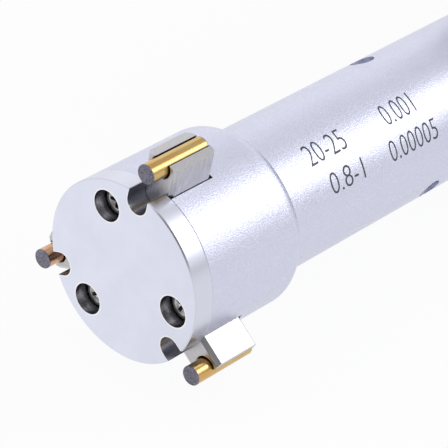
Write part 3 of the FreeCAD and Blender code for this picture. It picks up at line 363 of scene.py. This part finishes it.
def turned_steel(name, colour, roughness):
    """Turned steel with fine rings round the axis."""
    f = Finish(name, colour, metallic=1.0, roughness=roughness)
    rings = f.noise(0.06 * MM, detail=2, stretch=(1, RING_STRETCH, RING_STRETCH))
    f.colour_from(f.vary(rings, SPREAD, colour, dark=0.9, light=1.08))
    f.roughness_from(f.ramp(rings, *WIDE, roughness - 0.06, roughness + 0.06))
    f.bump((rings, 0.001 * MM))
    return f.material


def sunk_screw(name, colour, roughness):
    """Bright screw head, with painted shade in the cross and towards the wall of its hole."""
    f = Finish(name, colour, metallic=1.0, roughness=roughness)
    scratch = f.noise(0.12 * MM, detail=3)
    bright = f.vary(scratch, CORE, colour, dark=0.75, light=1.08)
    # Painted shade: darker deeper in the cross
    deep = f.ramp(f.axis("X"), CROSS_TOP_X + CROSS_START, CROSS_TOP_X + CROSS_END)
    cross_shaded = f.mix(deep, bright, shade(colour, 0.24))
    # Painted shade: darker outside the cross, towards the wall of the hole
    rim = f.clear_of(SCREW_AXES, CROSS_R)
    f.colour_from(f.mix(rim, cross_shaded, shade(colour, 0.16)))
    f.roughness_from(f.ramp(scratch, *SPREAD, roughness - 0.05, roughness + 0.08))
    f.bump((scratch, 0.012 * MM))
    return f.material


def moulded(name, colour, roughness):
    """Moulded plastic with a fine spark-eroded grain and a dark line where the two shells meet."""
    f = Finish(name, colour, metallic=0.0, roughness=roughness, Specular_IOR_Level=0.45)
    grain = f.noise(0.22 * MM, detail=3)
    cloud = f.noise(6 * MM, detail=2)
    tone = f.vary(cloud, SPREAD, colour, dark=0.93, light=1.07)
    off = f.calc("ABSOLUTE", f.calc("SUBTRACT", f.axis("Z"), SHELL_SPLIT_Z))
    beside = f.ramp(off, SPLIT_HALF, SPLIT_HALF * SOFT_EDGE)
    f.colour_from(f.mix(beside, shade(colour, 0.15), tone))
    f.roughness_from(f.ramp(grain, *SPREAD, roughness - 0.06, roughness + 0.08))
    f.bump((grain, 0.012 * MM))
    return f.material


def rubbery(name, colour):
    """Matt elastomer of the buttons."""
    f = Finish(name, colour, metallic=0.0, roughness=0.55, Specular_IOR_Level=0.4)
    grain = f.noise(0.12 * MM, detail=2)
    f.colour_from(f.vary(grain, SPREAD, colour, dark=0.95, light=1.05))
    f.bump((grain, 0.003 * MM))
    return f.material


def clear_window(name, tint):
    """Clear window with a faint tint and an anti-glare coat, which the low IOR stands for."""
    f = Finish(name, tint, metallic=0.0, roughness=0.03, Transmission_Weight=1.0, IOR=1.15)
    haze = f.noise(4 * MM, detail=2)
    f.roughness_from(f.ramp(haze, *SPREAD, to_low=0.02, to_high=0.06))
    return f.material


def lcd_face(name, colour):
    """Grey-green face of the reflective display."""
    f = Finish(name, colour, metallic=0.0, roughness=0.5, Specular_IOR_Level=0.05)
    cloud = f.noise(3 * MM, detail=2)
    dots = f.noise(0.08 * MM, detail=1)
    tone = f.vary(cloud, SPREAD, colour, dark=0.96, light=1.04)
    f.colour_from(f.mix(f.ramp(dots, *SPREAD, to_high=0.3), tone, shade(colour, 0.9)))
    return f.material


def laminate(name, lacquer, trace):
    """Lacquered board with faint traces."""
    f = Finish(name, lacquer, metallic=0.0, roughness=0.35)
    traces = f.noise(0.8 * MM, detail=0, stretch=(1, 4, 1))
    band = f.ramp(traces, *TRACES)
    f.colour_from(f.mix(band, lacquer, trace))
    f.bump((band, 0.02 * MM))
    return f.material


def ink(name, colour, roughness, gloss):
    """Slightly uneven marking, matt or with a sheen from the metal under it."""
    f = Finish(name, colour, metallic=0.0, roughness=roughness, Specular_IOR_Level=gloss)
    worn = f.noise(0.12 * MM, detail=2)
    f.colour_from(f.vary(worn, FADING, colour, dark=1.0, light=1.6))
    return f.material


def dress(names, material):
    """The named nodes get one material."""
    for name in names:
        nodes[name].data.materials.clear()
        nodes[name].data.materials.append(material)


def numbered(name):
    """The three nodes of a name that ends in a number."""
    return [f"{name}_{k}" for k in (1, 2, 3)]


def dress_head():
    """The pieces that the photo shows."""
    satin = blasted("satin_chrome", CHROME, roughness=0.375, scatter=0.095, depth=0.030 * MM)
    dress(["head_body", "body_tube"], satin)
    dress(["front_cap"],
          lapped("lapped_steel", NOSE_FACE, NOSE_RIM, face_roughness=0.30, rim_roughness=0.29))
    for name, way in zip(numbered("anvil"), PIN_WAYS):
        dress([name], ground("ground_" + name, GROUND_STEEL, way, roughness=0.32))
    dress(["contact_pin_1", "contact_pin_3"], coated("gold_coat", GOLD, GOLD_TINT, CARBIDE))
    # One pin gets a redder copy of the gold coat
    dress(["contact_pin_2"], coated("redder_coat", REDDER_GOLD, REDDER_TINT, CARBIDE))
    dress(["cap_screws"], sunk_screw("cap_screw_steel", CAP_SCREW_STEEL, roughness=0.14))


def dress_rest():
    """The inner pieces, the housing and the rear end."""
    dress(["housing_screws", "board_screws", "spring_rivets", "ratchet_screw"],
          turned_steel("screw_steel", SCREW_STEEL, roughness=0.16))
    dress(["measuring_cone", "guide_bush", "push_rod", "thrust_ball", "spindle", "spindle_nut",
           "adjusting_nut", "ratchet_ring", "front_socket"],
          turned_steel("inner_steel", INNER_STEEL, roughness=0.3))
    dress(numbered("return_spring") + ["cone_spring", "ratchet_spring"],
          turned_steel("spring_steel", SPRING_STEEL, roughness=0.3))
    dress(["spindle_sleeve", "thimble", "ratchet_knob", "ratchet_cap"],
          blasted("thimble_chrome", THIMBLE_CHROME, roughness=0.30, scatter=0.025, depth=0.001 * MM))
    dress(["housing_top", "housing_back"], moulded("housing_plastic", HOUSING_PLASTIC, roughness=0.5))
    dress(["battery_cap"], moulded("cap_plastic", CAP_PLASTIC, roughness=0.45))
    dress(["lcd_holder"], moulded("holder_plastic", HOLDER_PLASTIC, roughness=0.5))
    dress(["zero_button", "unit_button", "hold_button"], rubbery("button_rubber", RUBBER))
    dress(["display_window"], clear_window("window_clear", WINDOW_TINT))
    dress(["lcd_panel"], lcd_face("lcd_face", LCD_GREEN))
    dress(["circuit_board", "encoder_rotor", "encoder_stator"],
          laminate("board_laminate", BOARD_GREEN, BOARD_TRACE))
    dress(["dome_switches", "battery"], turned_steel("switch_metal", SWITCH_METAL, roughness=0.3))


def mesh_object(name, vertices, faces, material):
    """A piece made from vertices and faces."""
    mesh = bpy.data.meshes.new(name)
    mesh.from_pydata([tuple(v) for v in vertices], [], faces)
    mesh.validate()
    mesh.materials.append(material)
    piece = bpy.data.objects.new(name, mesh)
    bpy.context.scene.collection.objects.link(piece)
    return piece


# The marking: two rows of plain numbers, bent round the tube and read from the nose on.
# Each line has its ends along the axis in mm, and the clock angles of its foot and top in degrees.
MARK_LIFT = 0.012 * MM
MARK_STRIPS = 8
MARK_CURVE_STEPS = 4
MARK_THINNING = -0.014
CUT_TOLERANCE = 1e-6
MARK_LINES = (
    ("range_mm", "20-25", 20.3, 25.8, 138.5, 121.6),
    ("step_mm", "0.001", 31.75, 36.3, 138.5, 121.6),
    ("range_inch", "0.8-1", 21.65, 26.55, 164.6, 148.5),
    ("step_inch", "0.00005", 30.6, 37.9, 164.6, 148.5),
)


def flat_text(name, words):
    """Mesh of a line of text in its own plane, cut into strips so that it can be bent."""
    curve = bpy.data.curves.new(name, "FONT")
    curve.body = words
    curve.resolution_u = MARK_CURVE_STEPS
    curve.offset = MARK_THINNING
    holder = bpy.data.objects.new(name, curve)
    bpy.context.scene.collection.objects.link(holder)
    bpy.context.view_layer.update()
    solved = holder.evaluated_get(bpy.context.evaluated_depsgraph_get())
    mesh = bpy.data.meshes.new_from_object(solved)
    bpy.data.objects.remove(holder)
    work = bmesh.new()
    work.from_mesh(mesh)
    low = min(v.co.y for v in work.verts)
    high = max(v.co.y for v in work.verts)
    for k in range(1, MARK_STRIPS):
        level = Vector((0, low + (high - low) * k / MARK_STRIPS, 0))
        bmesh.ops.bisect_plane(work, geom=work.verts[:] + work.edges[:] + work.faces[:],
                               dist=CUT_TOLERANCE, plane_co=level, plane_no=Vector((0, 1, 0)))
    work.to_mesh(mesh)
    work.free()
    return mesh


def tube_marking(material):
    """The numbers on the tube, a hair's breadth above it."""
    radius = TUBE_R + MARK_LIFT
    for name, words, x0, x1, foot, top in MARK_LINES:
        mesh = flat_text(name, words)
        xs = [v.co.x for v in mesh.vertices]
        ys = [v.co.y for v in mesh.vertices]
        left = min(xs)
        right = max(xs)
        low = min(ys)
        high = max(ys)
        for v in mesh.vertices:
            along = x0 + (x1 - x0) * (v.co.x - left) / (right - left)
            clock = math.radians(foot + (top - foot) * (v.co.y - low) / (high - low))
            v.co = Vector((along * MM, radius * math.cos(clock), radius * math.sin(clock)))
        mesh.materials.clear()
        mesh.materials.append(material)
        piece = bpy.data.objects.new("marking_" + name, mesh)
        bpy.context.scene.collection.objects.link(piece)
        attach(piece, "instrument_body")


# Seven-segment digits of the display, which shows the diameter that the anvils stand at
SEGMENTS = {"0": "abcdef", "2": "abged", "5": "afgcd"}
READING = "25.000"
DIGIT_COUNT = len(READING.replace(".", ""))
DIGIT_W = 2.3 * MM
DIGIT_H = 5.6 * MM
DIGIT_PITCH = 4.1 * MM
STROKE = 0.55 * MM
STROKE_END = 1.3
STROKE_TIP = 0.9
SLANT = 0.09
LCD_LIFT = 0.03 * MM


def segment_boxes():
    """Centre, half length and half height of each segment of a digit."""
    w = DIGIT_W / 2
    h = DIGIT_H / 2
    s = STROKE / 2
    long_w = w - s * STROKE_END
    long_h = h / 2 - s * STROKE_END
    return {"a": (0, h, long_w, s), "g": (0, 0, long_w, s), "d": (0, -h, long_w, s),
            "b": (w, h / 2, s, long_h), "c": (w, -h / 2, s, long_h),
            "e": (-w, -h / 2, s, long_h), "f": (-w, h / 2, s, long_h)}


def segment_outline(cx, cy, half_x, half_y):
    """A segment with pointed ends, as six points."""
    if half_x > half_y:
        tip = half_x + half_y * STROKE_TIP
        return [(cx - tip, cy), (cx - half_x, cy - half_y), (cx + half_x, cy - half_y), (cx + tip, cy),
                (cx + half_x, cy + half_y), (cx - half_x, cy + half_y)]
    tip = half_y + half_x * STROKE_TIP
    return [(cx, cy - tip), (cx + half_x, cy - half_y), (cx + half_x, cy + half_y), (cx, cy + tip),
            (cx - half_x, cy + half_y), (cx - half_x, cy - half_y)]


def sign_outlines(sign, x):
    """Outlines of a digit's segments with its middle at x, or of the point that comes before it."""
    if sign == ".":
        return [segment_outline(x - DIGIT_PITCH / 2, -DIGIT_H / 2, STROKE / 2, STROKE / 2)]
    boxes = segment_boxes()
    return [segment_outline(x + cx, cy, half_x, half_y)
            for cx, cy, half_x, half_y in (boxes[s] for s in SEGMENTS[sign])]


def display_digits(material):
    """The reading, drawn on the display glass and read with the nose to the left."""
    low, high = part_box("lcd_panel")
    z = high.z + LCD_LIFT
    centre_y = (low.y + high.y) / 2
    x = (low.x + high.x - DIGIT_PITCH * (DIGIT_COUNT - 1)) / 2
    vertices = []
    faces = []
    for sign in READING:
        for outline in sign_outlines(sign, x):
            start = len(vertices)
            vertices += [(px + SLANT * py, centre_y + py, z) for px, py in outline]
            faces.append(list(range(start, start + len(outline))))
        if sign != ".":
            x += DIGIT_PITCH
    piece = mesh_object("display_reading", vertices, faces, material)
    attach(piece, "instrument_body")


# Studio: a white floor and surround, one soft lamp, and cards that only metal reflects.
# Each card has its direction from the head, its height, width and tone.
SURROUND = 0.75
FLOOR_GLOW = 0.93
FLOOR_HALF = 3.0
FLOOR_TONE = (0.93, 0.93, 0.935)
FLOOR_CLOUD = 0.05
KEY_AIM = Vector((0.645, -0.57, 0.51))
KEY_SIZE = (0.34, 0.22)
KEY_POWER = 0.68
KEY_DISTANCE = 0.6
CARD_DISTANCE = 0.66
CARD_BLUE = 1.01
CARDS = (
    ("card_above", Vector((0.645, 0.12, 0.757)), 0.20, 0.60, 0.72),
    ("card_back", Vector((0.645, 0.62, 0.45)), 0.34, 0.60, 1.14),
    ("card_side", Vector((0.62, -0.76, 0.03)), 0.07, 0.60, 0.45),
    ("card_front", Vector((-0.77, -0.42, 0.44)), 0.60, 0.50, 0.24),
)


def facing(place):
    """Turn that points the local -Z from a place to the head."""
    return (-place).to_track_quat("-Z", "Y").to_euler()


def plate(name, half_x, half_y, z, material):
    """A flat rectangle round the Z axis."""
    corners = [(-half_x, -half_y, z), (half_x, -half_y, z), (half_x, half_y, z), (-half_x, half_y, z)]
    return mesh_object(name, corners, [[0, 1, 2, 3]], material)


def key_lamp():
    """Soft rectangular lamp, high on the camera's right."""
    data = bpy.data.lights.new("key_lamp", "AREA")
    data.shape = "RECTANGLE"
    data.size, data.size_y = KEY_SIZE
    data.energy = KEY_POWER
    light = bpy.data.objects.new("key_lamp", data)
    light.location = KEY_AIM.normalized() * KEY_DISTANCE
    light.rotation_euler = facing(light.location)
    light.visible_camera = False
    bpy.context.scene.collection.objects.link(light)


def card(name, aim, height, width, tone):
    """Plain glowing card, which only reflections see."""
    material = bpy.data.materials.new(name)
    material.use_nodes = True
    tree = material.node_tree
    tree.nodes.clear()
    glow = tree.nodes.new("ShaderNodeEmission")
    glow.inputs["Color"].default_value = (tone, tone, tone * CARD_BLUE, 1)
    out = tree.nodes.new("ShaderNodeOutputMaterial")
    tree.links.new(glow.outputs[0], out.inputs["Surface"])
    panel = plate(name, width / 2, height / 2, 0, material)
    panel.location = aim.normalized() * CARD_DISTANCE
    panel.rotation_euler = facing(panel.location)
    for ray in ("camera", "diffuse", "transmission", "shadow", "volume_scatter"):
        setattr(panel, "visible_" + ray, False)


def seen_directly(tree):
    """1 for what the camera, a reflection or a clear piece looks at, and 0 for the lighting."""
    rays = tree.nodes.new("ShaderNodeLightPath")
    seen = rays.outputs["Is Camera Ray"]
    for name in ("Is Glossy Ray", "Is Transmission Ray"):
        either = tree.nodes.new("ShaderNodeMath")
        either.operation = "MAXIMUM"
        tree.links.new(seen, either.inputs[0])
        tree.links.new(rays.outputs[name], either.inputs[1])
        seen = either.outputs[0]
    return seen


def floor():
    """Plain white floor that keeps the object's shadow."""
    f = Finish("floor_white", FLOOR_TONE, metallic=0.0, roughness=0.9, Specular_IOR_Level=0.0)
    cloud = f.noise(FLOOR_CLOUD, detail=2)
    f.colour_from(f.vary(cloud, SPREAD, FLOOR_TONE, dark=0.998, light=1.0))
    glow = f.add("ShaderNodeEmission")
    share = f.calc("MULTIPLY", seen_directly(f.tree), FLOOR_GLOW)
    blend = f.add("ShaderNodeMixShader")
    f.link(share, blend.inputs[0])
    f.link(f.shader.outputs[0], blend.inputs[1])
    f.link(glow.outputs[0], blend.inputs[2])
    f.link(blend.outputs[0], f.tree.nodes["Material Output"].inputs["Surface"])
    plane = plate("floor", FLOOR_HALF, FLOOR_HALF, FLOOR_Z, f.material)


def surround():
    """White all round for the camera and for reflections, a plain level for the lighting."""
    world = bpy.data.worlds.new("surround")
    world.use_nodes = True
    bpy.context.scene.world = world
    tree = world.node_tree
    tree.nodes.clear()
    level = tree.nodes.new("ShaderNodeMapRange")
    level.inputs["To Min"].default_value = SURROUND
    level.inputs["To Max"].default_value = 1.0
    tree.links.new(seen_directly(tree), level.inputs["Value"])
    white = tree.nodes.new("ShaderNodeBackground")
    white.inputs["Color"].default_value = (1, 1, 1, 1)
    tree.links.new(level.outputs["Result"], white.inputs["Strength"])
    out = tree.nodes.new("ShaderNodeOutputWorld")
    tree.links.new(white.outputs[0], out.inputs["Surface"])


def studio():
    """Floor, surround, lamp and cards."""
    floor()
    surround()
    key_lamp()
    for values in CARDS:
        card(*values)
    bpy.context.scene.view_settings.view_transform = "Standard"


set_camera()
dress_head()
dress_rest()
tube_marking(ink("marking_ink", MARKING_INK, roughness=0.45, gloss=0.45))
display_digits(ink("digit_ink", DIGIT_INK, roughness=0.6, gloss=0.1))
studio()
